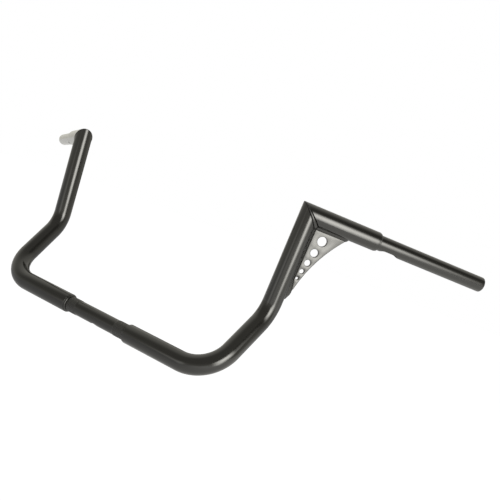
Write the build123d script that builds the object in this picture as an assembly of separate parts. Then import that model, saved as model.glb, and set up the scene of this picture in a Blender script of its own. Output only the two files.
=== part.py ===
from build123d import *

import os
from math import cos, hypot, radians, sin, tan

# Ape hanger handlebar: a welded bar of bent main tube with thinner clamp and grip tubes.
# Frame: origin at the middle of the clamp tube, +X to the rider's left, +Y back to the rider, +Z up.
# Driving dimensions, in millimetres and degrees.

# Tube sizes
main_od = 31.75
main_wall = 3.2
thin_od = 25.4
thin_wall = 3.2

# Bar shape, from corner point to corner point of the tube's centre line
base_half_width = 224.0
run_length = 142.0
run_rise = 46.0
run_flare = 6.2
riser_length = 173.5
riser_flare = 3.6
bend_radius = 58.5
grip_sweep = 38.0
upper_length = 121.5
grip_length = 201.0

# Sockets where the thin tubes' turned spigots, which start under the welds, go into the main tube
clamp_half_width = 66.5
socket_depth = 45.0
socket_clearance = 0.2
spigot_chamfer = 0.6
main_end_round = 0.6

# Clamp tube: knurled bands for the clamps and the wiring hole underneath
knurl_length = 20.0
knurl_from_weld = 0.8
knurl_raise = 0.5
wire_hole_diameter = 16.0

# Grip tube: open end and the wiring slot underneath, near the step
grip_end_round = 2.2
slot_length = 34.0
slot_width = 15.0
slot_from_step = 9.5

# Gusset plate in the mitred corner, measured from the tubes' surfaces
gusset_thickness = 4.8
gusset_along_upper = 59.0
gusset_along_riser = 124.0
gusset_edge_radius = 226.0
gusset_edge_end_width = 5.5
gusset_tail_slant = 9.0
gusset_tail_width = 1.2

# Row of lightening holes in the gusset, shrinking down the riser
hole_count = 5
first_hole_diameter = 16.0
last_hole_diameter = 4.7
hole_web = 7.3
first_hole_from_riser = 20.6
first_hole_from_upper = 17.3
hole_row_lean = 12.2

# Welds
mitre_gap_inside = 7.5
mitre_gap_outside = 0.8
mitre_bead_crown = 1.0
gusset_weld_leg = 3.5
gusset_weld_crown = 0.5
clamp_weld_leg = 3.0
clamp_weld_crown = 0.8
step_weld_leg = 3.2
step_weld_crown = 0.9

# Values that follow from the driving dimensions
main_radius = main_od / 2
main_bore_radius = main_radius - main_wall
thin_radius = thin_od / 2
thin_bore_radius = thin_radius - thin_wall
spigot_radius = main_bore_radius - socket_clearance

# Corner points and directions of the left side, which is the +X side
run_level = cos(radians(run_flare))
run_direction = Vector(
    sin(radians(run_flare)),
    run_level * cos(radians(run_rise)),
    run_level * sin(radians(run_rise)),
)
riser_direction = Vector(sin(radians(riser_flare)), 0, cos(radians(riser_flare)))
outward = Vector(cos(radians(riser_flare)), 0, -sin(radians(riser_flare)))
rearward = Vector(0, 1, 0)
grip_direction = outward * cos(radians(grip_sweep)) + rearward * sin(radians(grip_sweep))

base_start = Vector(clamp_half_width, 0, 0)
lower_corner = Vector(base_half_width, 0, 0)
upper_corner = lower_corner + run_direction * run_length
mitre_corner = upper_corner + riser_direction * riser_length
step_point = mitre_corner + grip_direction * upper_length

# The mitre's plane halves the square corner where the axes meet. Each tube's cut end leans away from it,
# so that the gap for the bead is wide inside the corner and narrow outside it
half_turn = radians(90 / 2)
mitre_stretch = 1 / cos(half_turn)
mitre_normal = (riser_direction + grip_direction).normalized()
inward_diagonal = (grip_direction - riser_direction).normalized()
mitre_plane = Plane(mitre_corner, x_dir=inward_diagonal, z_dir=mitre_normal)
corner_reach = main_radius * mitre_stretch
half_taper = (mitre_gap_inside - mitre_gap_outside) / 2
cut_lean = half_taper / (2 * corner_reach + half_taper)
cut_distance = mitre_gap_inside / 2 - cut_lean * (corner_reach + mitre_gap_inside / 2)
riser_cut = Plane(
    mitre_corner - mitre_normal * cut_distance,
    x_dir=inward_diagonal - mitre_normal * cut_lean,
    z_dir=mitre_normal + inward_diagonal * cut_lean,
)
upper_cut = Plane(
    mitre_corner + mitre_normal * cut_distance,
    x_dir=inward_diagonal + mitre_normal * cut_lean,
    z_dir=mitre_normal - inward_diagonal * cut_lean,
)

# The gusset's plane has its x along the upper tube and its y down the riser
gusset_normal = grip_direction.cross(riser_direction * -1).normalized()
gusset_plane = Plane(mitre_corner, x_dir=grip_direction, z_dir=gusset_normal)

# Frames with z along a tube's axis: the clamp's looks to the left, the grip's outward with its y upward
clamp_frame = Plane((0, 0, 0), x_dir=(0, 1, 0), z_dir=(1, 0, 0))
grip_frame = Plane(step_point, x_dir=gusset_normal, z_dir=grip_direction)


def turned(points):
    """A solid of revolution about local Z from (radius, height) points."""
    return revolve(Plane.XZ * make_face(Polyline(*points, close=True)), axis=Axis.Z)


def main_tube_path():
    """Centre line of the bent main tube, run on past the mitre so that the cut goes right through."""
    past_mitre = riser_direction * (2 * main_radius * tan(half_turn))
    return FilletPolyline(
        base_start,
        lower_corner,
        upper_corner,
        mitre_corner + past_mitre,
        radius=bend_radius,
    )


def bent_bar(section, cut):
    """The section swept along the main tube's path and cut off at the mitre."""
    start = Plane(base_start, z_dir=(1, 0, 0))
    swept = sweep(start * section, path=main_tube_path())
    return split(swept, bisect_by=cut, keep=Keep.BOTTOM)


def straight_bar(section, cut):
    """The section run from the step back past the mitre and cut off there."""
    start = Plane(step_point, z_dir=grip_direction * -1)
    run = upper_length + 2 * main_radius * tan(half_turn)
    return split(extrude(start * section, run), bisect_by=cut, keep=Keep.TOP)


def cut_ellipse(cut, direction):
    """The outline of a main tube's cut end, for the tube that runs that way from the mitre's corner."""
    slant = direction.dot(cut.z_dir)
    centre = mitre_corner + direction * ((cut.origin - mitre_corner).dot(cut.z_dir) / slant)
    return Plane(centre, x_dir=cut.x_dir, z_dir=cut.z_dir) * Ellipse(main_radius / slant, main_radius)


def bead_crest():
    """The mitre bead's crest: an ellipse in the mitre's plane, proud of the cut ends, most of all inside."""
    outside_crown = mitre_bead_crown * mitre_gap_outside / mitre_gap_inside
    mean_crown = (mitre_bead_crown + outside_crown) / 2
    end = cut_ellipse(riser_cut, riser_direction).edge()
    inside_reach = ((end @ 0) - mitre_corner).dot(inward_diagonal) + mitre_bead_crown
    outside_reach = ((end @ 0.5) - mitre_corner).dot(inward_diagonal) - outside_crown
    middle = mitre_corner + inward_diagonal * ((inside_reach + outside_reach) / 2)
    crest = Ellipse((inside_reach - outside_reach) / 2, main_radius + mean_crown)
    return Plane(middle, x_dir=inward_diagonal, z_dir=mitre_normal) * crest


def mitre_weld(bores):
    """Full-depth domed bead from one cut end to the other, wide inside the corner and narrow outside it."""
    ends = [cut_ellipse(riser_cut, riser_direction), cut_ellipse(upper_cut, grip_direction)]
    return loft([ends[0], bead_crest(), ends[1]]) - bores


def bead_envelope():
    """The room that the mitre bead takes, which the gusset and its welds are cut back from."""
    return extrude(bead_crest(), mitre_gap_inside / 2, both=True)


def main_section():
    return Circle(main_radius) - Circle(main_bore_radius)


def riser_tube():
    """Base, run and riser in one bent tube, with its lower end rounded and its top mitred."""
    tube = bent_bar(main_section(), riser_cut)
    end_rim = tube.edges().filter_by(GeomType.CIRCLE).group_by(Axis.X)[0].sort_by(SortBy.RADIUS)[-1]
    return fillet(end_rim, main_end_round)


def upper_tube():
    """The straight piece of main tube from the mitre to the step."""
    return straight_bar(main_section(), upper_cut)


def clamp_tube():
    """Thin tube through the clamps, with a spigot in each riser tube, two knurled bands and a wiring hole."""
    knurl_radius = thin_radius + knurl_raise
    weld_toe = clamp_half_width - clamp_weld_leg
    knurl_end = weld_toe - knurl_from_weld
    knurl_start = knurl_end - knurl_length
    spigot_end = clamp_half_width + socket_depth
    half_outline = [
        (thin_radius, knurl_start),
        (knurl_radius, knurl_start + knurl_raise),
        (knurl_radius, knurl_end - knurl_raise),
        (thin_radius, knurl_end),
        (thin_radius, weld_toe),
        (spigot_radius, weld_toe),
        (spigot_radius, spigot_end - spigot_chamfer),
        (spigot_radius - spigot_chamfer, spigot_end),
        (thin_bore_radius, spigot_end),
    ]
    other_half = [(radius, -height) for radius, height in reversed(half_outline)]
    tube = clamp_frame * turned(half_outline + other_half)
    hole = Plane((0, 0, 0), z_dir=(0, 0, -1)) * Circle(wire_hole_diameter / 2)
    return tube - extrude(hole, thin_od)


def grip_tube():
    """Thin tube for the grip, with a spigot in the upper tube, a rounded open end and a wiring slot."""
    outline = [
        (thin_bore_radius, -socket_depth),
        (spigot_radius - spigot_chamfer, -socket_depth),
        (spigot_radius, spigot_chamfer - socket_depth),
        (spigot_radius, step_weld_leg),
        (thin_radius, step_weld_leg),
        (thin_radius, grip_length),
        (thin_bore_radius, grip_length),
    ]
    tube = turned(outline)
    end_rim = tube.edges().filter_by(GeomType.CIRCLE).group_by(Axis.Z)[-1].sort_by(SortBy.RADIUS)[-1]
    tube = fillet(end_rim, grip_end_round)
    slot_middle = slot_from_step + slot_length / 2
    underside = Plane((0, 0, slot_middle), x_dir=(0, 0, 1), z_dir=(0, -1, 0))
    tube -= extrude(underside * SlotOverall(slot_length, slot_width), thin_od)
    return grip_frame * tube


def hole_row():
    """The gusset's lightening holes, with equal webs between them along one leaning line."""
    shrink = (first_hole_diameter - last_hole_diameter) / (hole_count - 1)
    diameters = [first_hole_diameter - shrink * index for index in range(hole_count)]
    across = main_radius + first_hole_from_riser
    down = main_radius + first_hole_from_upper
    holes = []
    for index, diameter in enumerate(diameters):
        if index:
            pitch = (diameters[index - 1] + diameter) / 2 + hole_web
            across -= pitch * sin(radians(hole_row_lean))
            down += pitch * cos(radians(hole_row_lean))
        holes.append(Pos(across, down) * Circle(diameter / 2))
    return holes


def gusset_outline():
    """The plate's face before drilling: along both tubes' axes, a hollow free edge and a slanting tail."""
    tip = (main_radius + gusset_along_upper, main_radius)
    tail = (main_radius + gusset_tail_width, main_radius + gusset_along_riser)
    edge_end = (main_radius + gusset_edge_end_width, tail[1] - gusset_tail_slant)
    sides = Polyline(edge_end, tail, (0, tail[1]), (0, 0), (tip[0], 0), tip)
    return make_face([sides, RadiusArc(tip, edge_end, gusset_edge_radius, short_sagitta=True)])


def gusset(rods):
    """Flat drilled plate, coped to both tubes and clipped round the mitre bead."""
    plate = extrude(gusset_plane * (gusset_outline() - hole_row()), gusset_thickness / 2, both=True)
    return plate - rods - bead_envelope()


def fillet_bead_half():
    """Half of the section across the plate and its two fillet beads; y is the height over the tube's axis."""
    face = gusset_thickness / 2
    toe_side = face + gusset_weld_leg
    toe_height = (main_radius**2 - toe_side**2) ** 0.5
    top = (face, main_radius + gusset_weld_leg)
    toe = (toe_side, toe_height)
    fall = top[1] - toe_height
    slope = hypot(gusset_weld_leg, fall)
    middle = (
        face + gusset_weld_leg / 2 + gusset_weld_crown * fall / slope,
        (top[1] + toe_height) / 2 + gusset_weld_crown * gusset_weld_leg / slope,
    )
    inside = [toe, (toe_side, 0), (0, 0), (0, top[1]), top]
    return make_face([ThreePointArc(top, middle, toe), Polyline(*inside)])


def fillet_bead(frame, reach, keep):
    """Bead along one tube from the mitre to its end, where it goes round the plate."""
    half = fillet_bead_half()
    side = extrude(half, reach)
    run = side + mirror(side, about=Plane.YZ)
    end = Pos(0, 0, reach) * revolve(half, axis=Axis((0, 0, 0), (0, -1, 0)), revolution_arc=180)
    return split(frame * (run + end), bisect_by=mitre_plane, keep=keep)


def gusset_weld(rods, plate):
    """Fillet bead along both tubes on both faces of the plate, round its tip and flush with its tail."""
    along_upper = Plane(mitre_corner, x_dir=gusset_normal * -1, z_dir=grip_direction)
    along_riser = Plane(mitre_corner, x_dir=gusset_normal, z_dir=riser_direction * -1)
    upper_reach = main_radius + gusset_along_upper - gusset_weld_leg
    riser_reach = main_radius + gusset_along_riser
    beside_tail = extrude(gusset_plane * gusset_outline(), main_radius, both=True)
    bead = fillet_bead(along_upper, upper_reach, Keep.TOP)
    bead += fillet_bead(along_riser, riser_reach, Keep.BOTTOM) & beside_tail
    return bead - rods - plate - bead_envelope()


def shoulder_weld(frame, top_radius, leg, crown):
    """Ring of weld on the spigot, from the main tube's end face down to the thin tube, with a domed face."""
    top = (top_radius, 0)
    toe = (thin_radius, leg)
    rise = top_radius - thin_radius
    slope = hypot(rise, leg)
    middle = (
        (top_radius + thin_radius) / 2 + crown * leg / slope,
        leg / 2 + crown * rise / slope,
    )
    face = ThreePointArc(top, middle, toe)
    foot = Polyline(toe, (spigot_radius, leg), (spigot_radius, 0), top)
    return frame * revolve(Plane.XZ * make_face([face, foot]), axis=Axis.Z)


def left_pieces():
    """Every piece of the left side, by name."""
    rods = [bar(Circle(main_radius), mitre_plane) for bar in (bent_bar, straight_bar)]
    bores = [bar(Circle(main_bore_radius), mitre_plane) for bar in (bent_bar, straight_bar)]
    plate = gusset(rods)
    clamp_end = Plane(base_start, x_dir=(0, 1, 0), z_dir=(-1, 0, 0))
    clamp_weld_top = main_radius - main_end_round
    return {
        "riser_tube": riser_tube(),
        "upper_tube": upper_tube(),
        "grip_tube": grip_tube(),
        "gusset": plate,
        "mitre_weld": mitre_weld(bores),
        "gusset_weld": gusset_weld(rods, plate),
        "clamp_weld": shoulder_weld(clamp_end, clamp_weld_top, clamp_weld_leg, clamp_weld_crown),
        "step_weld": shoulder_weld(grip_frame, main_radius, step_weld_leg, step_weld_crown),
    }


os.makedirs("parts", exist_ok=True)
export_step(clamp_tube(), "parts/clamp_tube.step")
for name, piece in left_pieces().items():
    export_step(piece, f"parts/left_{name}.step")
    export_step(mirror(piece, about=Plane.YZ), f"parts/right_{name}.step")
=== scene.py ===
from math import cos, pi, radians, sin, sqrt, tan

import bmesh
import bpy
import numpy as np
from mathutils import Matrix, Vector


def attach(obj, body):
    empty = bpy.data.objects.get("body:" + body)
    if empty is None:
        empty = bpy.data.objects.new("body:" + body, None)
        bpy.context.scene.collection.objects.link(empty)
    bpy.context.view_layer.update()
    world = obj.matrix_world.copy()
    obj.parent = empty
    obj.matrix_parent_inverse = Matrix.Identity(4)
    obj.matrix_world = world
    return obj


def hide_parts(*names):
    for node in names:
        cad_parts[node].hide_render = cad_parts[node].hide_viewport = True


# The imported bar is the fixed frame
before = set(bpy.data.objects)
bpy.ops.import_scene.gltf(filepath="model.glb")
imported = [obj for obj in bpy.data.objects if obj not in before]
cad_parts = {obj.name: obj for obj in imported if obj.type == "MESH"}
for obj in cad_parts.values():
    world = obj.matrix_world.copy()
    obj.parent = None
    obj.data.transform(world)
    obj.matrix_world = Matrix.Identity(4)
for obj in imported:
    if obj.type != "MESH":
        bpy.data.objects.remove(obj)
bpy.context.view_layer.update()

# Sizes of the bar in millimetres and degrees, as in the solids
MM = 0.001
main_diameter = 31.75
thin_diameter = 25.4
wall = 3.2
spigot_clearance = 0.2
main_radius = main_diameter / 2
main_bore_radius = main_radius - wall
thin_radius = thin_diameter / 2
thin_bore_radius = thin_radius - wall
spigot_radius = main_bore_radius - spigot_clearance
base_half_width = 224.0
run_length = 142.0
run_rise = 46.0
run_flare = 6.2
riser_length = 173.5
riser_flare = 3.6
bend_radius = 58.5
grip_sweep = 38.0
upper_length = 121.5
grip_length = 201.0
clamp_half_width = 66.5
socket_depth = 45.0
main_end_round = 0.6
knurl_length = 20.0
knurl_from_weld = 0.8
knurl_raise = 0.5
wire_hole_diameter = 16.0
grip_end_round = 2.2
slot_length = 34.0
slot_width = 15.0
slot_from_step = 9.5
gusset_thickness = 4.8
gusset_along_upper = 59.0
gusset_along_riser = 124.0
gusset_edge_radius = 226.0
gusset_edge_end_width = 5.5
gusset_tail_slant = 9.0
gusset_tail_width = 1.2
hole_count = 5
first_hole_diameter = 16.0
last_hole_diameter = 4.7
hole_web = 7.3
first_hole_from_riser = 20.6
first_hole_from_upper = 17.3
hole_row_lean = 12.2
mitre_gap_inside = 7.5
mitre_gap_outside = 0.8
mitre_bead_crown = 1.0
gusset_weld_leg = 3.5
clamp_weld_leg = 3.0
clamp_weld_crown = 0.8
step_weld_leg = 3.2
step_weld_crown = 0.9

# Finer sizes that only the looks need, in millimetres, and shares of them
rim_round = 0.6
edge_round = 0.7
narrowest_face = 3 * edge_round
hole_rim_share = 0.12
buried = 0.8
root_inset = 0.3
mitre_root = 3 * buried
fillet_root = 2 * buried
ring_overlap = 0.05
toe_groove_depth = 0.6
toe_groove_width = 1.2
clamp_weld_grooves = (1, 0.3)
step_weld_grooves = (1, 1)
fillet_weld_grooves = (0, 0)
bead_roundness = 0.7
tail_weld_leg = 9.0
narrow_weld_leg = 2.4
tail_spread_start = 90.0
flat_bead_crown = 0.2
mitre_bead_roundness = 0.4
mitre_notch = 1.3
mitre_notch_at_peak = 0.3
mitre_notch_growth = 3
plate_notch = 0.45
knurl_starts = 50
knurl_pitch = 2.8
knurl_depth = 0.38
knurl_softness = 0.6
ripple_pitch = 2.3
ripple_height = 0.05
ripple_bow = 0.45
sharp_angle = 40

# Fineness of the meshes: counts, and row spacings and margins in millimetres
ring_segments = 128
weld_segments = 256
knurl_segments = 300
mitre_segments = 400
hole_segments = 64
rim_steps = 5
grip_end_steps = 8
edge_steps = 90
bead_steps = 15
mitre_bead_steps = 25
tip_steps = 24
steps_per_ripple = 6
spread_steps = 6
bend_ring_spacing = 2.0
fine_spacing = 1.5
knurl_spacing = 0.4
straight_spacing = 4.0
grip_spacing = 6.0
fine_past_slot = 6
plain_past_slot = 10
slot_half_columns = 26
slot_margin = 4.5
wire_hole_half_columns = 96
wire_hole_margin = 6.0
step_width = 0.01
tolerance = 1e-6

# Paint: colours, gloss as a range of roughness, and the sizes of its noise as scale and detail
dark_paint = (0.008, 0.0075, 0.006, 1)
pale_paint = (0.014, 0.013, 0.0105, 1)
paint_ior = 1.58
mottle_noise = (55, 4)
gloss_noise = (120, 3)
peel_noise = (620, 2)
noise_low = 0.3
noise_high = 0.7
peel_height = 0.0002
tube_roughness = (0.11, 0.17)
tube_peel = 0.05
weld_roughness = (0.16, 0.24)
weld_peel = 0.12
paint_slot = "gloss_black_paint"
weld_slot = "painted_weld"

# The camera that took the photograph, in metres, with its lens and sensor in millimetres
camera_place = Vector((0.60078, -0.76119, 0.25415))
camera_right = Vector((0.83427, 0.44128, 0.33055))
camera_down = Vector((0.32569, 0.08933, -0.94125))
camera_forward = Vector((-0.44488, 0.89291, -0.06919))
camera_lens = 42.31
camera_sensor = 36.0

# Stage and light, in metres; a level of 1 is white
floor_height = -0.30
floor_size = 16.0
floor_paint = (0.8, 0.8, 0.8, 1)
floor_lift = 0.55
# Painted light on the floor that gloss sees, brighter towards +X
floor_painted_light_left = 0.15
floor_painted_light_right = 0.80
floor_gloss_from = -0.6
floor_gloss_to = 0.9
key_centre = Vector((1.45, -0.70, 0.42))
key_target = Vector((0, 0.12, 0.13))
key_size = (1.7, 1.9)
key_power = 10.0
softbox_centre = Vector((1.206, -0.490, 0.377))
softbox_facing = Vector((-0.9884, -0.1520, 0))
softbox_reach = (0.725, 1.32, 0.98, 0.75)
softbox_level = 10.1
low_glow_centre = Vector((-0.2, -1.19, 0.0))
low_glow_facing = Vector((0.15, 1.0, 0))
low_glow_reach = (0.30, 0.75, 0.48, 0.48)
low_glow_level = 1.05
glow_core = 0.05
glow_shape = 1.15
room_level = 0.6
horizon_gloss = 0.68
back_gloss = 0.87
front_gloss = 0.36
front = Vector((0.42, -0.91, 0))
front_from = -0.35
front_to = 0.20
overhead_from = -0.05
overhead_to = 0.40
# Patches that gloss sees darker or paler: their direction, where they start and are full, and their level
far_left = Vector((-0.79, 0.61, 0))
room_patches = (
    (Vector((0.694, -0.036, 0.719)), 0.94, 0.99, 0.40),
    (Vector((-0.352, 0.935, -0.04)), 0.85, 0.97, 0.20),
    (far_left, 0.97, 0.995, 1.25),
)
# The floor that gloss sees is darker behind the bar and paler far to the left: painted shade and painted
# light
behind = Vector((-0.446, 0.895, 0))
behind_from = 0.2
behind_to = 0.9
behind_painted_shade = 0.2
far_floor_from = 2.0
far_floor_to = 3.4
far_floor_painted_light = 0.40
white = (1, 1, 1, 1)
warm_white = (1.0, 0.985, 0.92, 1)
room_tint = (1.0, 0.98, 0.88, 1)


def unit(vector):
    return np.asarray(vector, float) / np.linalg.norm(vector)


# Corner points and directions of the left side, which is the +X side
run_level = cos(radians(run_flare))
run_direction = np.array([
    sin(radians(run_flare)),
    run_level * cos(radians(run_rise)),
    run_level * sin(radians(run_rise)),
])
riser_direction = np.array([sin(radians(riser_flare)), 0, cos(radians(riser_flare))])
outward = np.array([cos(radians(riser_flare)), 0, -sin(radians(riser_flare))])
rearward = np.array([0, 1, 0])
grip_direction = outward * cos(radians(grip_sweep)) + rearward * sin(radians(grip_sweep))
clamp_direction = np.array([1.0, 0, 0])
upward = np.array([0, 0, 1.0])
base_start = clamp_direction * clamp_half_width
lower_corner = clamp_direction * base_half_width
upper_corner = lower_corner + run_direction * run_length
mitre_corner = upper_corner + riser_direction * riser_length
step_point = mitre_corner + grip_direction * upper_length
mitre_normal = unit(riser_direction + grip_direction)
inward_diagonal = unit(grip_direction - riser_direction)
gusset_normal = np.cross(grip_direction, -riser_direction)

# The tubes' cut ends lean away from the mitre's plane, so that the bead is wide inside the corner
corner_reach = main_radius * sqrt(2)
half_taper = (mitre_gap_inside - mitre_gap_outside) / 2
cut_lean = half_taper / (2 * corner_reach + half_taper)
cut_distance = mitre_gap_inside / 2 - cut_lean * (corner_reach + mitre_gap_inside / 2)
riser_cut = (mitre_corner - mitre_normal * cut_distance, unit(mitre_normal + inward_diagonal * cut_lean))
upper_cut = (mitre_corner + mitre_normal * cut_distance, unit(mitre_normal - inward_diagonal * cut_lean))

# Where the clamp welds end on the clamp tube, and where each knurled band ends and starts
clamp_weld_toe = clamp_half_width - clamp_weld_leg
band_end = clamp_weld_toe - knurl_from_weld
band_start = band_end - knurl_length


class Skin:
    """Points and faces of one piece, put together from grids and loops of points."""

    def __init__(self):
        self.points = []
        self.faces = []

    def add(self, points):
        """Keep these points and return their numbers in the same arrangement."""
        points = np.asarray(points, float)
        first = len(self.points)
        self.points.extend(points.reshape(-1, 3))
        return np.arange(first, len(self.points)).reshape(points.shape[:-1])

    def cover(self, grid, close_rows=False, skip=None):
        """Faces over a grid whose rows are closed rings; skip leaves a window of rows and columns open."""
        rows, columns = grid.shape
        for row in range(rows if close_rows else rows - 1):
            for column in range(columns):
                if skip and skip[0] <= row < skip[1] and skip[2] <= column < skip[3]:
                    continue
                beside = (column + 1) % columns
                above = (row + 1) % rows
                corners = (grid[row, column], grid[row, beside], grid[above, beside], grid[above, column])
                self.faces.append(corners)

    def cap(self, loop):
        self.faces.append(tuple(loop))


def piece(name, node, skin, material):
    """Make the left piece from a skin and its mirror image on the right, each in place of its solid."""
    for side, flip in (("left", 1), ("right", -1)):
        mirrored = np.array(skin.points) * (flip * MM, MM, MM)
        single_piece(f"{side}_{name}", f"{side}_{node}", mirrored, skin.faces, material)


def single_piece(name, node, points, faces, material):
    mesh = bpy.data.meshes.new(name)
    corners = [tuple(point) for point in points]
    mesh.from_pydata(corners, [], [tuple(int(number) for number in face) for face in faces])
    finish_mesh(mesh)
    place_piece(name, node, mesh, material)


def finish_mesh(mesh):
    """Point every face outward and shade it smooth, with sharp edges left sharp."""
    shape = bmesh.new()
    shape.from_mesh(mesh)
    bmesh.ops.recalc_face_normals(shape, faces=shape.faces)
    shape.to_mesh(mesh)
    shape.free()
    mesh.shade_smooth()
    mesh.set_sharp_from_angle(angle=radians(sharp_angle))


def place_piece(name, node, mesh, material):
    made = bpy.data.objects.new(name, mesh)
    bpy.context.scene.collection.objects.link(made)
    mesh.materials.clear()
    mesh.materials.append(material)
    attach(made, "root")
    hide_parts(node)


def circle_angles(count):
    return np.arange(count) * 2 * pi / count


def ring(centre, top, side, radius):
    """One ring of points; its first point is at the top and the middle one at the underside."""
    angles = circle_angles(ring_segments)[:, None]
    return centre + radius * (np.cos(angles) * top + np.sin(angles) * side)


def rounding(radius, height, size, start, stop, steps=rim_steps):
    """(radius, height) pairs along an arc of that size about a point, between two angles in degrees."""
    angles = np.radians(np.linspace(start, stop, steps))
    return [(radius + size * cos(angle), height + size * sin(angle)) for angle in angles]


def turned_rings(origin, axis, top, outline):
    """Rings round an axis for each (radius, height) pair."""
    side = np.cross(axis, top)
    return np.array([ring(origin + axis * height, top, side, radius) for radius, height in outline])


def heights(start, stop, spacing):
    """Even steps from start to stop, about that far apart."""
    return np.linspace(start, stop, max(2, round(abs(stop - start) / spacing) + 1))


def bend_arc(before, corner, after):
    """Start, first direction, inward direction and angle of the bend between two straight stretches."""
    arriving = unit(corner - before)
    leaving = unit(after - corner)
    angle = np.arccos(np.clip(arriving @ leaving, -1, 1))
    trim = bend_radius * tan(angle / 2)
    start = corner - arriving * trim
    inward = unit(leaving - arriving * (arriving @ leaving))
    return start, arriving, inward, angle


def bent_stations():
    """Centres and directions along the main tube, from the clamp to the foot of the straight riser."""
    corners = [base_start, lower_corner, upper_corner, mitre_corner]
    centres = [base_start + clamp_direction * main_end_round]
    directions = [clamp_direction]
    for before, corner, after in zip(corners, corners[1:], corners[2:]):
        start, arriving, inward, angle = bend_arc(before, corner, after)
        for turn in np.linspace(0, angle, round(bend_radius * angle / bend_ring_spacing)):
            centres.append(start + bend_radius * (arriving * sin(turn) + inward * (1 - cos(turn))))
            directions.append(arriving * cos(turn) + inward * sin(turn))
    return centres, directions


def carried_tops(directions, top):
    """A top direction for each station, carried along without twist."""
    tops = []
    for direction in directions:
        top = unit(top - direction * (top @ direction))
        tops.append(top)
    return tops


def run_on_to_plane(row, direction, point, normal):
    """Rows that carry a ring on along a direction until it lies in a plane."""
    reach = ((point - row) @ normal) / (direction @ normal)
    count = max(2, round(reach.max() / straight_spacing))
    return [row + direction * (reach * share)[:, None] for share in np.linspace(0, 1, count + 1)[1:]]


def main_tube_rows(radius, end_rows):
    """Rows of the bent tube's outside or inside, from the clamp to the mitre."""
    centres, directions = bent_stations()
    tops = carried_tops(directions, upward)
    rows = [ring(base_start + clamp_direction * height, upward, np.cross(clamp_direction, upward), size)
            for size, height in end_rows]
    for centre, direction, top in zip(centres, directions, tops):
        rows.append(ring(centre, top, np.cross(direction, top), radius))
    return rows + run_on_to_plane(rows[-1], directions[-1], *riser_cut)


def riser_tube(material):
    """Base, run and riser in one bent tube, with a rounded lower rim and a mitred top."""
    rim = rounding(main_radius - main_end_round, main_end_round, main_end_round, -90, 0)
    outside = notched(main_tube_rows(main_radius, rim[:-1]), riser_direction)
    inside = main_tube_rows(main_bore_radius, [(main_bore_radius, 0)])
    skin = Skin()
    skin.cover(skin.add(outside + inside[::-1]), close_rows=True)
    piece("riser_tube_painted", "riser_tube", skin, material)


def upper_tube(material):
    """Straight main tube from the step back to the mitre."""
    rim = rounding(main_radius - rim_round, rim_round, rim_round, -90, 0)
    toward_mitre = -grip_direction
    outside = list(turned_rings(step_point, toward_mitre, riser_direction, rim))
    inside = list(turned_rings(step_point, toward_mitre, riser_direction, [(main_bore_radius, 0)]))
    outside = notched(outside + run_on_to_plane(outside[-1], toward_mitre, *upper_cut), toward_mitre)
    inside += run_on_to_plane(inside[-1], toward_mitre, *upper_cut)
    skin = Skin()
    skin.cover(skin.add(outside + inside[::-1]), close_rows=True)
    piece("upper_tube_painted", "upper_tube", skin, material)


def oblong(length, width, shares):
    """Points (along, across) round a slot with round ends, or a hole where the two sizes are equal."""
    radius = width / 2
    straight = (length - width) / 2
    quarter = pi * radius / 2
    runs = [quarter, 2 * straight, 2 * quarter, 2 * straight, quarter]
    stops = np.cumsum([0] + runs)
    distance = np.asarray(shares) * stops[-1]
    along = np.empty_like(distance)
    across = np.empty_like(distance)
    for index, travel in enumerate(distance):
        if travel < stops[1]:
            turn = travel / radius
            along[index], across[index] = straight + radius * cos(turn), radius * sin(turn)
        elif travel < stops[2]:
            along[index], across[index] = straight - (travel - stops[1]), radius
        elif travel < stops[3]:
            turn = pi / 2 + (travel - stops[2]) / radius
            along[index], across[index] = -straight + radius * cos(turn), radius * sin(turn)
        elif travel < stops[4]:
            along[index], across[index] = -straight + (travel - stops[3]), -radius
        else:
            turn = 3 * pi / 2 + (travel - stops[4]) / radius
            along[index], across[index] = straight + radius * cos(turn), radius * sin(turn)
    return along, across


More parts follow.
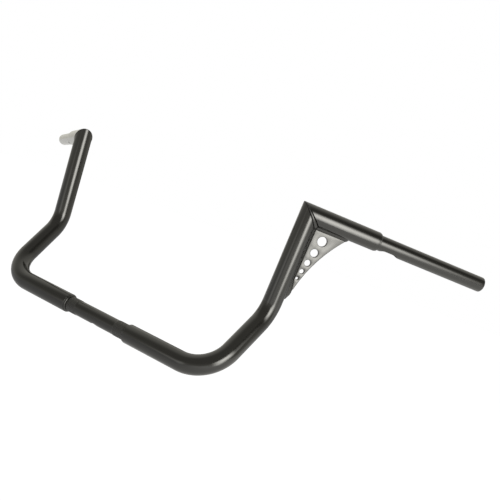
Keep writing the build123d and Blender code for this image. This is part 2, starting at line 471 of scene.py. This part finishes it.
class Opening:
    """A slot or hole through the underside of a straight tube, with rounded rims inside and outside."""

    def __init__(self, origin, axis, top, middle, length, width, outer_radius, inner_radius):
        self.origin = origin
        self.axis = axis
        self.top = top
        self.side = np.cross(axis, top)
        self.middle = middle
        self.length = length
        self.width = width
        self.outer_radius = outer_radius
        self.inner_radius = inner_radius

    def window(self, row_heights, columns, half_columns, margin):
        """First and last rows and columns of the patch that the opening is cut in."""
        low = self.middle - self.length / 2 - margin
        high = self.middle + self.length / 2 + margin
        rows = np.flatnonzero((row_heights >= low - tolerance) & (row_heights <= high + tolerance))
        return rows[0], rows[-1], columns // 2 - half_columns, columns // 2 + half_columns

    def border(self, patch, columns):
        """Grid places round the patch, from the middle of its outer end towards the growing columns."""
        first_row, last_row, first_column, last_column = patch
        middle = columns // 2
        places = [(last_row, column) for column in range(middle, last_column)]
        places += [(row, last_column) for row in range(last_row, first_row, -1)]
        places += [(first_row, column) for column in range(last_column, first_column, -1)]
        places += [(row, first_column) for row in range(first_row, last_row)]
        places += [(last_row, column) for column in range(first_column, middle)]
        return places

    def on_tube(self, along, across, depth, radius):
        """Points at a depth behind a tube's surface, straight up from its underside."""
        fall = np.sqrt(np.maximum(radius**2 - across**2, 0)) - depth
        centre = self.origin + self.axis * (self.middle + along)[:, None]
        return centre - self.side * across[:, None] - self.top * fall[:, None]

    def spread(self, along, angle, shares, radius):
        """Loops over a tube's surface, from the patch's border to the rim of the opening."""
        rim_along, rim_across = oblong(self.length + 2 * rim_round, self.width + 2 * rim_round, shares)
        rim_angle = np.arcsin(np.clip(rim_across / radius, -1, 1))
        loops = []
        for share in np.linspace(0, 1, spread_steps + 1)[1:-1]:
            here = along + (rim_along - along) * share
            turn = (angle + (rim_angle - angle) * share)[:, None]
            centre = self.origin + self.axis * (self.middle + here)[:, None]
            loops.append(centre - radius * (self.side * np.sin(turn) + self.top * np.cos(turn)))
        return loops

    def rim(self, shares, radius, inward):
        """Loops round the rounded rim, from the tube's surface to the opening's wall."""
        loops = []
        for turn in np.radians(np.linspace(0, 90, rim_steps)):
            grow = 2 * rim_round * (1 - sin(turn))
            depth = rim_round * (1 - cos(turn))
            along, across = oblong(self.length + grow, self.width + grow, shares)
            loops.append(self.on_tube(along, across, depth * inward, radius))
        return loops

    def cut(self, skin, outer, inner, row_heights, patch):
        """Join the tube's outer and inner grids through the opening."""
        columns = outer.shape[1]
        places = self.border(patch, columns)
        along = np.array([row_heights[row] for row, column in places]) - self.middle
        angle = np.array([circle_angles(columns)[column] for row, column in places]) - pi
        around = self.outer_radius * np.diff(angle, append=angle[0])
        travel = np.hypot(np.diff(along, append=along[0]), around)
        shares = np.concatenate([[0], np.cumsum(travel)[:-1]]) / travel.sum()
        loops = self.spread(along, angle, shares, self.outer_radius)
        loops += self.rim(shares, self.outer_radius, 1)
        loops += self.rim(shares, self.inner_radius, -1)[::-1]
        loops += self.spread(along, angle, shares, self.inner_radius)[::-1]
        chain = [np.array([outer[place] for place in places])]
        chain += [skin.add(loop) for loop in loops]
        chain.append(np.array([inner[place] for place in places]))
        skin.cover(np.array(chain))


def grip_tube(material):
    """Thin tube for the grip, with a rounded open end and a wiring slot in its underside."""
    slot_middle = slot_from_step + slot_length / 2
    slot_end = slot_from_step + slot_length
    end_start = grip_length - grip_end_round
    along = np.concatenate([
        [-socket_depth, 0.0],
        heights(step_weld_leg, slot_end + fine_past_slot, fine_spacing),
        heights(slot_end + plain_past_slot, end_start, grip_spacing),
    ])
    sizes = [spigot_radius if height < step_weld_leg else thin_radius for height in along]
    end = rounding(thin_radius - grip_end_round, end_start, grip_end_round, 0, 90, grip_end_steps)[1:]
    mouth = rounding(thin_bore_radius + rim_round, grip_length - rim_round, rim_round, 90, 180)
    bore = [(thin_bore_radius, height) for height in along] + mouth[::-1]
    outside = turned_rings(step_point, grip_direction, riser_direction, list(zip(sizes, along)) + end)
    inside = turned_rings(step_point, grip_direction, riser_direction, bore)
    skin = Skin()
    outer = skin.add(outside)
    inner = skin.add(inside)
    opening = Opening(
        step_point, grip_direction, riser_direction, slot_middle,
        slot_length, slot_width, thin_radius, thin_bore_radius,
    )
    patch = opening.window(along, ring_segments, slot_half_columns, slot_margin)
    skin.cover(outer, skip=patch)
    skin.cover(inner, skip=patch)
    opening.cut(skin, outer, inner, along, patch)
    skin.cover(np.array([outer[-1], inner[-1]]))
    skin.cover(np.array([inner[0], outer[0]]))
    piece("grip_tube_painted", "grip_tube", skin, material)


def knurl_height(angle, along):
    """Height of the knurl's diamonds over the grooves that cross between them, softened by paint."""
    around = knurl_starts * angle / (2 * pi)
    one = 0.5 - 0.5 * np.cos(2 * pi * (around + along / knurl_pitch))
    other = 0.5 - 0.5 * np.cos(2 * pi * (around - along / knurl_pitch))
    return np.minimum(one, other) ** knurl_softness


def clamp_radius(angle, along):
    """Radius of the clamp tube's outside, with its two knurled bands."""
    distance = abs(along)
    if distance > clamp_weld_toe:
        return np.full_like(angle, spigot_radius)
    ramp = np.clip(min(distance - band_start, band_end - distance) / knurl_raise, 0, 1)
    crest = knurl_raise - knurl_depth + knurl_depth * knurl_height(angle, along)
    return thin_radius + ramp * crest


def clamp_tube(material):
    """Thin tube through the clamps, with real knurling and the wiring hole underneath."""
    half = np.concatenate([
        heights(0, band_start, fine_spacing)[1:],
        heights(band_start, band_end, knurl_spacing)[1:],
        [clamp_weld_toe, clamp_weld_toe + step_width, clamp_half_width + socket_depth],
    ])
    along = np.concatenate([-half[::-1], [0.0], half])
    angles = circle_angles(knurl_segments)
    side = np.cross(clamp_direction, upward)
    around = np.cos(angles)[:, None] * upward + np.sin(angles)[:, None] * side
    centres = [clamp_direction * height for height in along]
    sizes = [clamp_radius(angles, height)[:, None] for height in along]
    outside = [centre + size * around for centre, size in zip(centres, sizes)]
    inside = [centre + thin_bore_radius * around for centre in centres]
    skin = Skin()
    outer = skin.add(outside)
    inner = skin.add(inside)
    opening = Opening(
        np.zeros(3), clamp_direction, upward, 0.0,
        wire_hole_diameter, wire_hole_diameter, thin_radius, thin_bore_radius,
    )
    patch = opening.window(along, knurl_segments, wire_hole_half_columns, wire_hole_margin)
    skin.cover(outer, skip=patch)
    skin.cover(inner, skip=patch)
    opening.cut(skin, outer, inner, along, patch)
    skin.cover(np.array([outer[-1], inner[-1]]))
    skin.cover(np.array([inner[0], outer[0]]))
    points = np.array(skin.points) * MM
    single_piece("clamp_tube_painted", "clamp_tube", points, skin.faces, material)


def gusset_edge_end():
    """Where the plate's hollow free edge ends and its slanting tail begins, in the plate's plane."""
    down = main_radius + gusset_along_riser - gusset_tail_slant
    return np.array([main_radius + gusset_edge_end_width, down])


def gusset_edge_centre():
    """Centre of the plate's hollow free edge, in the plate's plane."""
    tip = np.array([main_radius + gusset_along_upper, main_radius])
    half_chord = (tip - gusset_edge_end()) / 2
    away = unit(np.array([-half_chord[1], half_chord[0]]))
    return gusset_edge_end() + half_chord + away * sqrt(gusset_edge_radius**2 - half_chord @ half_chord)


def free_edge(down):
    """Distance of the plate's free edge from the riser's axis at a distance down the riser."""
    across, edge_end = gusset_edge_end()
    if down > edge_end:
        return across - (gusset_edge_end_width - gusset_tail_width) * (down - edge_end) / gusset_tail_slant
    centre = gusset_edge_centre()
    return centre[0] - sqrt(gusset_edge_radius**2 - (down - centre[1]) ** 2)


def riser_weld_leg(down):
    """The bead along the riser narrows to pass the last hole and then spreads over the plate's tail."""
    along = down - main_radius
    if along < tail_spread_start:
        return gusset_weld_leg + (narrow_weld_leg - gusset_weld_leg) * max(along, 0) / tail_spread_start
    share = (along - tail_spread_start) / (gusset_along_riser - tail_spread_start)
    return narrow_weld_leg + (tail_weld_leg - narrow_weld_leg) * share


def gusset_face():
    """Outline of the plate that shows between its free edge and the beads along both tubes."""
    upper_line = main_radius + gusset_weld_leg - root_inset
    edge = []
    beside_bead = []
    for down in np.linspace(upper_line, main_radius + gusset_along_riser, edge_steps):
        riser_line = main_radius + riser_weld_leg(down) - root_inset
        if free_edge(down) < riser_line + narrowest_face:
            break
        edge.append((free_edge(down), down))
        beside_bead.append((riser_line, down))
    return np.array(edge + beside_bead[::-1])


def gusset_root():
    """Outline of the hidden core that runs on under the beads into both tubes."""
    inside = main_radius - buried
    stop = main_radius + gusset_along_riser - root_inset
    edge = [(free_edge(down) - root_inset, down) for down in np.linspace(inside, stop, edge_steps)]
    return np.array(edge + [(inside, stop), (inside, inside)])


def gusset_holes():
    """Centre and radius of each lightening hole, with equal webs along one leaning line."""
    shrink = (first_hole_diameter - last_hole_diameter) / (hole_count - 1)
    across = main_radius + first_hole_from_riser
    down = main_radius + first_hole_from_upper
    holes = []
    for index in range(hole_count):
        diameter = first_hole_diameter - shrink * index
        if index:
            pitch = diameter + shrink / 2 + hole_web
            across -= pitch * sin(radians(hole_row_lean))
            down += pitch * cos(radians(hole_row_lean))
        holes.append((np.array([across, down]), diameter / 2))
    return holes


def shifted(outline, inset):
    """A closed outline moved inward by the inset, each corner along its own bisector."""
    points = np.array(outline)
    before = points - np.roll(points, 1, axis=0)
    after = np.roll(points, -1, axis=0) - points
    before /= np.linalg.norm(before, axis=1)[:, None]
    after /= np.linalg.norm(after, axis=1)[:, None]
    normal = np.stack([-before[:, 1] - after[:, 1], before[:, 0] + after[:, 0]], axis=1)
    normal /= (1 + (before * after).sum(axis=1))[:, None]
    return points + normal * inset


def plate(skin, outline, holes, thickness):
    """Add a flat plate with rounded edges, its two faces filled between the outline and the holes."""
    if loop_area(outline) < 0:
        outline = outline[::-1]
    turns = np.radians(np.linspace(0, 90, rim_steps))
    insets = [edge_round * (1 - sin(turn)) for turn in turns]
    levels = [thickness / 2 - edge_round * (1 - cos(turn)) for turn in turns]
    borders = [[shifted(outline, inset) for inset in insets]]
    for centre, radius in holes:
        rim = min(1, radius * hole_rim_share / edge_round)
        borders.append([hole_loop(centre, radius + inset * rim) for inset in insets])
    fronts = []
    backs = []
    for border in borders:
        rows = list(zip(border, levels))
        rows += [(shape, -height) for shape, height in reversed(rows)]
        grid = skin.add([in_gusset_plane(shape, height) for shape, height in rows])
        skin.cover(grid)
        fronts.append(grid[0])
        backs.append(grid[-1])
    skin.faces.extend(filled(skin.points, fronts))
    skin.faces.extend(filled(skin.points, backs))


def gusset(material):
    """Drilled plate with a rounded border beside the beads, on a thinner core that runs on under them."""
    skin = Skin()
    plate(skin, gusset_face(), gusset_holes(), gusset_thickness)
    core_holes = [(centre, radius + root_inset) for centre, radius in gusset_holes()]
    plate(skin, gusset_root(), core_holes, gusset_thickness - 2 * buried)
    piece("gusset_painted", "gusset", skin, material)


def loop_area(points):
    ahead = np.roll(points, -1, axis=0)
    return (points[:, 0] * ahead[:, 1] - points[:, 1] * ahead[:, 0]).sum() / 2


def hole_loop(centre, radius):
    angles = -circle_angles(hole_segments)[:, None]
    return centre + radius * np.concatenate([np.cos(angles), np.sin(angles)], axis=1)


def in_gusset_plane(flat, height):
    flat = np.asarray(flat)
    in_plane = mitre_corner + flat[:, :1] * grip_direction - flat[:, 1:] * riser_direction
    return in_plane + height * gusset_normal


def filled(points, borders):
    """Triangles over a flat face between its outer border and the borders of its holes."""
    shape = bmesh.new()
    numbers = {}
    edges = []
    for border in borders:
        corners = []
        for number in border:
            corner = shape.verts.new(points[number])
            numbers[corner] = number
            corners.append(corner)
        edges += [shape.edges.new((corners[i - 1], corners[i])) for i in range(len(corners))]
    bmesh.ops.triangle_fill(shape, use_beauty=True, use_dissolve=False, edges=edges)
    triangles = [tuple(numbers[corner] for corner in face.verts) for face in shape.faces]
    shape.free()
    return triangles


def ripple(distance, across):
    """Height of the weld's ripples: shallow overlapping crescents that die out at the toes."""
    phase = distance / ripple_pitch + ripple_bow * (2 * across - 1) ** 2
    return ripple_height * np.abs(np.sin(pi * phase)) * np.sin(pi * across)


def bead_face(start, stop, crown, grooves):
    """Points over a bead from one toe to the other, in its own section, and their outward side."""
    start = np.array(start, float)
    stop = np.array(stop, float)
    shares = np.linspace(0, 1, bead_steps)
    chord = stop - start
    out = unit(np.array([chord[1], -chord[0]]))
    if out @ (start + stop) < 0:
        out = -out
    height = bead_height(shares, np.linalg.norm(chord), crown, grooves)
    return shares, start + shares[:, None] * chord + height[:, None] * out, out


def bead_height(share, width, crown, grooves):
    """Height of a bead over the line between its toes. Each toe has its share of the full groove."""
    first = grooves[0] * np.maximum(0, 1 - share * width / toe_groove_width)
    last = grooves[1] * np.maximum(0, 1 - (1 - share) * width / toe_groove_width)
    return crown * np.sin(pi * share) ** bead_roundness - toe_groove_depth * (first + last)


def mitre_notch_at(points):
    """Depth of the notch along a tube's cut end, which is smallest at the corner's outer peak."""
    inside = 0.5 + 0.5 * ((points - mitre_corner) @ inward_diagonal) / corner_reach
    growth = (1 - mitre_notch_at_peak) * np.minimum(1, mitre_notch_growth * inside)
    return (mitre_notch * (mitre_notch_at_peak + growth))[:, None]


def notched(rows, direction):
    """A main tube's rows with the edge of its cut end broken, so that a notch shows beside the bead."""
    end = rows[-1]
    depth = mitre_notch_at(end)
    radial = end - mitre_corner - ((end - mitre_corner) @ direction)[:, None] * direction
    radial /= np.linalg.norm(radial, axis=1)[:, None]
    return rows[:-1] + [end - direction * depth, end - radial * depth]


def mitre_toe(direction, inward, cut, angles):
    """Where the bead meets a main tube: the outer edge of the tube's cut end."""
    around = np.cos(angles)[:, None] * inward + np.sin(angles)[:, None] * gusset_normal
    on_tube = mitre_corner + main_radius * around
    reach = ((cut[0] - on_tube) @ cut[1]) / (direction @ cut[1])
    return on_tube + reach[:, None] * direction, around


def mitre_weld(material):
    """Rippled bead between the tubes' cut ends, wide inside the corner and almost nothing outside it."""
    angles = circle_angles(mitre_segments)
    riser_toe, riser_side = mitre_toe(riser_direction, grip_direction, riser_cut, angles)
    upper_toe, upper_side = mitre_toe(grip_direction, -riser_direction, upper_cut, angles)
    out = riser_side + upper_side
    out /= np.linalg.norm(out, axis=1)[:, None]
    middle = (riser_toe + upper_toe) / 2
    steps = np.linalg.norm(np.roll(middle, -1, axis=0) - middle, axis=1)
    travel = np.concatenate([[0], np.cumsum(steps)[:-1]])
    travel *= round(steps.sum() / ripple_pitch) * ripple_pitch / steps.sum()
    gap = np.linalg.norm(upper_toe - riser_toe, axis=1)
    fullness = np.sqrt((gap - gap.min()) / (gap.max() - gap.min()))
    depth = mitre_notch_at(middle)[:, 0]
    rows = []
    for share in np.linspace(0, 1, mitre_bead_steps):
        rise = max(sin(pi * share), 0) ** mitre_bead_roundness
        height = (mitre_bead_crown * fullness + depth) * rise - depth
        height += ripple(travel, share) * fullness
        rows.append(riser_toe + (upper_toe - riser_toe) * share + out * height[:, None])
    rows.append(upper_toe - out * mitre_root)
    rows.append(riser_toe - out * mitre_root)
    skin = Skin()
    skin.cover(skin.add(rows), close_rows=True)
    piece("mitre_weld_bead", "mitre_weld", skin, material)


def shoulder_weld(name, node, origin, axis, top_radius, leg, crown, grooves, material):
    """Rippled ring of weld from a main tube's end face down to the thin tube."""
    shares, face, out = bead_face((top_radius, 0), (thin_radius, leg), crown, grooves)
    angles = circle_angles(weld_segments)
    around = 2 * pi * (top_radius + thin_radius) / 2
    travel = angles / (2 * pi) * round(around / ripple_pitch) * ripple_pitch
    top = unit(upward - axis * (upward @ axis))
    spokes = np.cos(angles)[:, None] * top + np.sin(angles)[:, None] * np.cross(axis, top)
    rows = []
    for share, (radius, height) in zip(shares, face):
        lift = ripple(travel, share)[:, None]
        rows.append(origin + spokes * (radius + lift * out[0]) + axis * (height + lift * out[1]))
    inner = spokes * (spigot_radius - ring_overlap)
    rows.append(origin + inner + axis * leg)
    rows.append(origin + inner)
    skin = Skin()
    skin.cover(skin.add(rows), close_rows=True)
    piece(name, node, skin, material)


def upper_stations():
    """Places, turns and legs: out along the upper tube, round the plate's tip and back behind it."""
    reach = main_radius + gusset_along_upper - gusset_weld_leg
    places = heights(main_radius - buried, reach, ripple_pitch / steps_per_ripple)
    out = [(distance, 0.0, gusset_weld_leg) for distance in places]
    turns = [(reach, turn, gusset_weld_leg) for turn in np.linspace(0, pi, tip_steps)[1:-1]]
    return out + turns + [(distance, pi, leg) for distance, turn, leg in reversed(out)]


def riser_stations(turn):
    """Down the riser on one face of the plate, to its tail, where the free edge cuts the bead off."""
    stop = main_radius + gusset_along_riser
    stations = []
    for distance in heights(main_radius - buried, stop, ripple_pitch / steps_per_ripple):
        leg = min(riser_weld_leg(distance), free_edge(distance) - main_radius)
        stations.append((distance, turn, leg))
    return stations


def weld_arm(skin, axis, rise, stations):
    """Rippled fillet bead beside the plate, from a notch just under the plate's face to the tube."""
    face = gusset_thickness / 2
    toe_side = face + gusset_weld_leg
    toe_height = sqrt(main_radius**2 - toe_side**2)
    turn_radius = face + gusset_weld_leg / 2
    rows = []
    travel = 0.0
    before = stations[0]
    for distance, turn, leg in stations:
        travel += abs(distance - before[0]) + turn_radius * abs(turn - before[1])
        before = (distance, turn)
        top = (face - plate_notch, main_radius + leg)
        toe = (toe_side, toe_height)
        shares, curve, out = bead_face(top, toe, flat_bead_crown, fillet_weld_grooves)
        lifted = curve + out * ripple(travel, shares)[:, None]
        hidden = [
            (toe_side - buried, toe_height - buried),
            (face - fillet_root, main_radius - buried),
            (face - fillet_root, top[1] - toe_groove_depth),
        ]
        section = np.concatenate([lifted, hidden])
        sideways = gusset_normal * cos(turn) + axis * sin(turn)
        rows.append(mitre_corner + axis * distance + section[:, :1] * sideways + section[:, 1:] * rise)
    grid = skin.add(rows)
    skin.cover(grid)
    skin.cap(grid[0])
    skin.cap(grid[-1])


def gusset_weld(material):
    """The gusset's fillet welds along both tubes, on both faces of the plate."""
    skin = Skin()
    weld_arm(skin, grip_direction, -riser_direction, upper_stations())
    for turn in (0.0, pi):
        weld_arm(skin, -riser_direction, grip_direction, riser_stations(turn))
    piece("gusset_weld_bead", "gusset_weld", skin, material)


def new_nodes(owner):
    owner.use_nodes = True
    owner.node_tree.nodes.clear()
    return owner.node_tree.nodes, owner.node_tree.links


def noise(nodes, links, place, scale, detail):
    made = nodes.new("ShaderNodeTexNoise")
    made.inputs["Scale"].default_value = scale
    made.inputs["Detail"].default_value = detail
    links.new(place.outputs["Object"], made.inputs["Vector"])
    return made.outputs["Fac"]


def ranged(nodes, links, value, low, high):
    """The noise's usual spread of values, stretched to go from low to high."""
    made = nodes.new("ShaderNodeMapRange")
    made.inputs["From Min"].default_value = noise_low
    made.inputs["From Max"].default_value = noise_high
    made.inputs["To Min"].default_value = low
    made.inputs["To Max"].default_value = high
    links.new(value, made.inputs["Value"])
    return made.outputs["Result"]


def black_paint(name, roughness, peel):
    """Gloss black paint: faint mottling, uneven gloss and the orange peel of a sprayed coat."""
    made = bpy.data.materials.new(name)
    nodes, links = new_nodes(made)
    place = nodes.new("ShaderNodeTexCoord")
    shader = nodes.new("ShaderNodeBsdfPrincipled")
    output = nodes.new("ShaderNodeOutputMaterial")
    shader.inputs["IOR"].default_value = paint_ior
    mottle = nodes.new("ShaderNodeValToRGB")
    mottle.color_ramp.elements[0].color = dark_paint
    mottle.color_ramp.elements[1].color = pale_paint
    links.new(noise(nodes, links, place, *mottle_noise), mottle.inputs["Fac"])
    links.new(mottle.outputs["Color"], shader.inputs["Base Color"])
    gloss = ranged(nodes, links, noise(nodes, links, place, *gloss_noise), *roughness)
    links.new(gloss, shader.inputs["Roughness"])
    bump = nodes.new("ShaderNodeBump")
    bump.inputs["Strength"].default_value = peel
    bump.inputs["Distance"].default_value = peel_height
    links.new(noise(nodes, links, place, *peel_noise), bump.inputs["Height"])
    links.new(bump.outputs["Normal"], shader.inputs["Normal"])
    links.new(shader.outputs["BSDF"], output.inputs["Surface"])
    return made


tube_paint = black_paint(paint_slot, tube_roughness, tube_peel)
weld_paint = black_paint(weld_slot, weld_roughness, weld_peel)

clamp_tube(tube_paint)
riser_tube(tube_paint)
upper_tube(tube_paint)
grip_tube(tube_paint)
gusset(tube_paint)
mitre_weld(weld_paint)
gusset_weld(weld_paint)
shoulder_weld(
    "clamp_weld_bead", "clamp_weld", base_start, -clamp_direction, main_radius - main_end_round,
    clamp_weld_leg, clamp_weld_crown, clamp_weld_grooves, weld_paint,
)
shoulder_weld(
    "step_weld_bead", "step_weld", step_point, grip_direction, main_radius - rim_round,
    step_weld_leg, step_weld_crown, step_weld_grooves, weld_paint,
)


def facing(centre, direction):
    """Placement whose Z axis points that way, with its X axis level."""
    toward = direction.normalized()
    across = Vector((0, 0, 1)).cross(toward).normalized()
    turn = Matrix((across, toward.cross(across), toward)).transposed().to_4x4()
    return Matrix.Translation(centre) @ turn


def card(name, placement, width, height):
    """A flat rectangle of the stage."""
    corners = [(-1, -1), (1, -1), (1, 1), (-1, 1)]
    mesh = bpy.data.meshes.new(name)
    mesh.from_pydata([(width / 2 * x, height / 2 * y, 0) for x, y in corners], [], [(0, 1, 2, 3)])
    made = bpy.data.objects.new(name, mesh)
    made.matrix_world = placement
    bpy.context.scene.collection.objects.link(made)
    return made


def worked(nodes, links, operation, first, second):
    """One step of arithmetic in a node tree, on outputs or plain numbers."""
    made = nodes.new("ShaderNodeMath")
    made.operation = operation
    for socket, value in zip(made.inputs, (first, second)):
        if isinstance(value, (int, float)):
            socket.default_value = value
        else:
            links.new(value, socket)
    return made.outputs[0]


def faded(nodes, links, value, start, stop, low, high):
    """A smooth change from low to high while a value goes from start to stop."""
    made = nodes.new("ShaderNodeMapRange")
    made.interpolation_type = "SMOOTHSTEP"
    made.inputs["From Min"].default_value = start
    made.inputs["From Max"].default_value = stop
    made.inputs["To Min"].default_value = low
    made.inputs["To Max"].default_value = high
    links.new(value, made.inputs["Value"])
    return made.outputs["Result"]


def measured_along(nodes, links, place, direction):
    """How far a place or direction reaches along another direction."""
    made = nodes.new("ShaderNodeVectorMath")
    made.operation = "DOT_PRODUCT"
    made.inputs[1].default_value = direction
    links.new(place, made.inputs[0])
    return made.outputs["Value"]


def mirror_ray(nodes, links, path):
    """1 for rays that see the room in gloss or through glass."""
    glossy = path.outputs["Is Glossy Ray"]
    return worked(nodes, links, "MAXIMUM", glossy, path.outputs["Is Transmission Ray"])


def tinted(nodes, links, mirror):
    """White for the camera and matt surfaces, and the room's warm tint in gloss."""
    made = nodes.new("ShaderNodeMixRGB")
    made.inputs["Color1"].default_value = white
    made.inputs["Color2"].default_value = room_tint
    links.new(mirror, made.inputs["Fac"])
    return made.outputs["Color"]


def stretched(nodes, links, value, below, above):
    """Distance from zero as a share of the reach on its own side, raised to the glow's shape."""
    under = worked(nodes, links, "DIVIDE", worked(nodes, links, "MINIMUM", value, 0.0), -below)
    over = worked(nodes, links, "DIVIDE", worked(nodes, links, "MAXIMUM", value, 0.0), above)
    return worked(nodes, links, "POWER", worked(nodes, links, "ADD", under, over), glow_shape)


def glow(name, centre, direction, reach, peak):
    """Soft light that only gloss sees. Its reach is to one side, the other side, down and up."""
    made = card(name, facing(centre, direction), 2 * max(reach), 2 * max(reach))
    material = bpy.data.materials.new(name)
    nodes, links = new_nodes(material)
    place = nodes.new("ShaderNodeTexCoord")
    axes = nodes.new("ShaderNodeSeparateXYZ")
    links.new(place.outputs["Object"], axes.inputs[0])
    across = stretched(nodes, links, axes.outputs["X"], reach[0], reach[1])
    upright = stretched(nodes, links, axes.outputs["Y"], reach[2], reach[3])
    spread = worked(nodes, links, "ADD", across, upright)
    distance = worked(nodes, links, "POWER", spread, 1 / glow_shape)
    light = nodes.new("ShaderNodeEmission")
    light.inputs["Color"].default_value = warm_white
    links.new(faded(nodes, links, distance, glow_core, 1.0, peak, 0.0), light.inputs["Strength"])
    clear = nodes.new("ShaderNodeBsdfTransparent")
    both = nodes.new("ShaderNodeAddShader")
    output = nodes.new("ShaderNodeOutputMaterial")
    links.new(light.outputs["Emission"], both.inputs[0])
    links.new(clear.outputs["BSDF"], both.inputs[1])
    links.new(both.outputs["Shader"], output.inputs["Surface"])
    made.data.materials.append(material)
    made.visible_camera = False
    made.visible_diffuse = False
    made.visible_shadow = False


def key_lamp():
    """The plain lamp that lights matt surfaces and throws the shadow."""
    lamp = bpy.data.lights.new("key", "AREA")
    lamp.shape = "RECTANGLE"
    lamp.size, lamp.size_y = key_size
    lamp.energy = key_power
    key = bpy.data.objects.new("key", lamp)
    key.matrix_world = facing(key_centre, key_target - key_centre) @ Matrix.Rotation(pi, 4, "X")
    key.visible_glossy = False
    bpy.context.scene.collection.objects.link(key)


def pale_floor():
    """Floor that is white where it is lit and keeps a soft shadow, with painted light and shade that only
    gloss sees.
    """
    made = card("floor", Matrix.Translation((0, 0, floor_height)), floor_size, floor_size)
    material = bpy.data.materials.new("floor")
    nodes, links = new_nodes(material)
    path = nodes.new("ShaderNodeLightPath")
    matt = nodes.new("ShaderNodeBsdfDiffuse")
    lift = nodes.new("ShaderNodeEmission")
    both = nodes.new("ShaderNodeAddShader")
    output = nodes.new("ShaderNodeOutputMaterial")
    matt.inputs["Color"].default_value = floor_paint
    place = nodes.new("ShaderNodeTexCoord")
    axes = nodes.new("ShaderNodeSeparateXYZ")
    links.new(place.outputs["Object"], axes.inputs[0])
    # Painted light seen in gloss: the floor gets brighter towards +X
    spread = (floor_gloss_from, floor_gloss_to, floor_painted_light_left, floor_painted_light_right)
    gloss = faded(nodes, links, axes.outputs["X"], *spread)
    # Painted shade behind the bar and painted light far to the left, seen in gloss
    back = measured_along(nodes, links, place.outputs["Object"], behind)
    dark = faded(nodes, links, back, behind_from, behind_to, 1.0, behind_painted_shade)
    away = measured_along(nodes, links, place.outputs["Object"], far_left)
    pale = faded(nodes, links, away, far_floor_from, far_floor_to, 0.0, far_floor_painted_light)
    gloss = worked(nodes, links, "ADD", worked(nodes, links, "MULTIPLY", gloss, dark), pale)
    mirror = mirror_ray(nodes, links, path)
    mirrored = worked(nodes, links, "MULTIPLY", mirror, gloss)
    seen = worked(nodes, links, "MULTIPLY", path.outputs["Is Camera Ray"], floor_lift)
    links.new(tinted(nodes, links, mirror), lift.inputs["Color"])
    links.new(worked(nodes, links, "ADD", seen, mirrored), lift.inputs["Strength"])
    links.new(matt.outputs["BSDF"], both.inputs[0])
    links.new(lift.outputs["Emission"], both.inputs[1])
    links.new(both.outputs["Shader"], output.inputs["Surface"])
    made.data.materials.append(material)


def white_room():
    """White for the camera. Gloss sees a room with dark and pale parts, and matt surfaces an even one."""
    world = bpy.data.worlds.new("room")
    bpy.context.scene.world = world
    nodes, links = new_nodes(world)
    path = nodes.new("ShaderNodeLightPath")
    place = nodes.new("ShaderNodeTexCoord")
    toward = measured_along(nodes, links, place.outputs["Generated"], front)
    axes = nodes.new("ShaderNodeSeparateXYZ")
    links.new(place.outputs["Generated"], axes.inputs[0])
    overhead = faded(nodes, links, toward, front_from, front_to, back_gloss, front_gloss)
    high = faded(nodes, links, axes.outputs["Z"], overhead_from, overhead_to, 0.0, 1.0)
    change = worked(nodes, links, "SUBTRACT", overhead, horizon_gloss)
    change = worked(nodes, links, "MULTIPLY", change, high)
    level = worked(nodes, links, "ADD", horizon_gloss, change)
    for direction, start, full, strength in room_patches:
        near = measured_along(nodes, links, place.outputs["Generated"], direction)
        patch = faded(nodes, links, near, start, full, 1.0, strength)
        level = worked(nodes, links, "MULTIPLY", level, patch)
    mirror = mirror_ray(nodes, links, path)
    mirrored = worked(nodes, links, "MULTIPLY", level, mirror)
    seen = worked(nodes, links, "ADD", mirrored, path.outputs["Is Camera Ray"])
    matt = worked(nodes, links, "MULTIPLY", path.outputs["Is Diffuse Ray"], room_level)
    sky = nodes.new("ShaderNodeBackground")
    output = nodes.new("ShaderNodeOutputWorld")
    links.new(tinted(nodes, links, mirror), sky.inputs["Color"])
    links.new(worked(nodes, links, "ADD", seen, matt), sky.inputs["Strength"])
    links.new(sky.outputs["Background"], output.inputs["Surface"])


def photo_camera():
    """The camera that took the photograph, found by fitting the bar's outlines."""
    data = bpy.data.cameras.new("photo_camera")
    data.sensor_width = camera_sensor
    data.lens = camera_lens
    made = bpy.data.objects.new("photo_camera", data)
    turn = Matrix((camera_right, -camera_down, -camera_forward)).transposed().to_4x4()
    made.matrix_world = Matrix.Translation(camera_place) @ turn
    bpy.context.scene.collection.objects.link(made)
    bpy.context.scene.camera = made


pale_floor()
white_room()
key_lamp()
glow("softbox", softbox_centre, softbox_facing, softbox_reach, softbox_level)
glow("low_glow", low_glow_centre, low_glow_facing, low_glow_reach, low_glow_level)
photo_camera()
bpy.context.scene.view_settings.view_transform = "Standard"
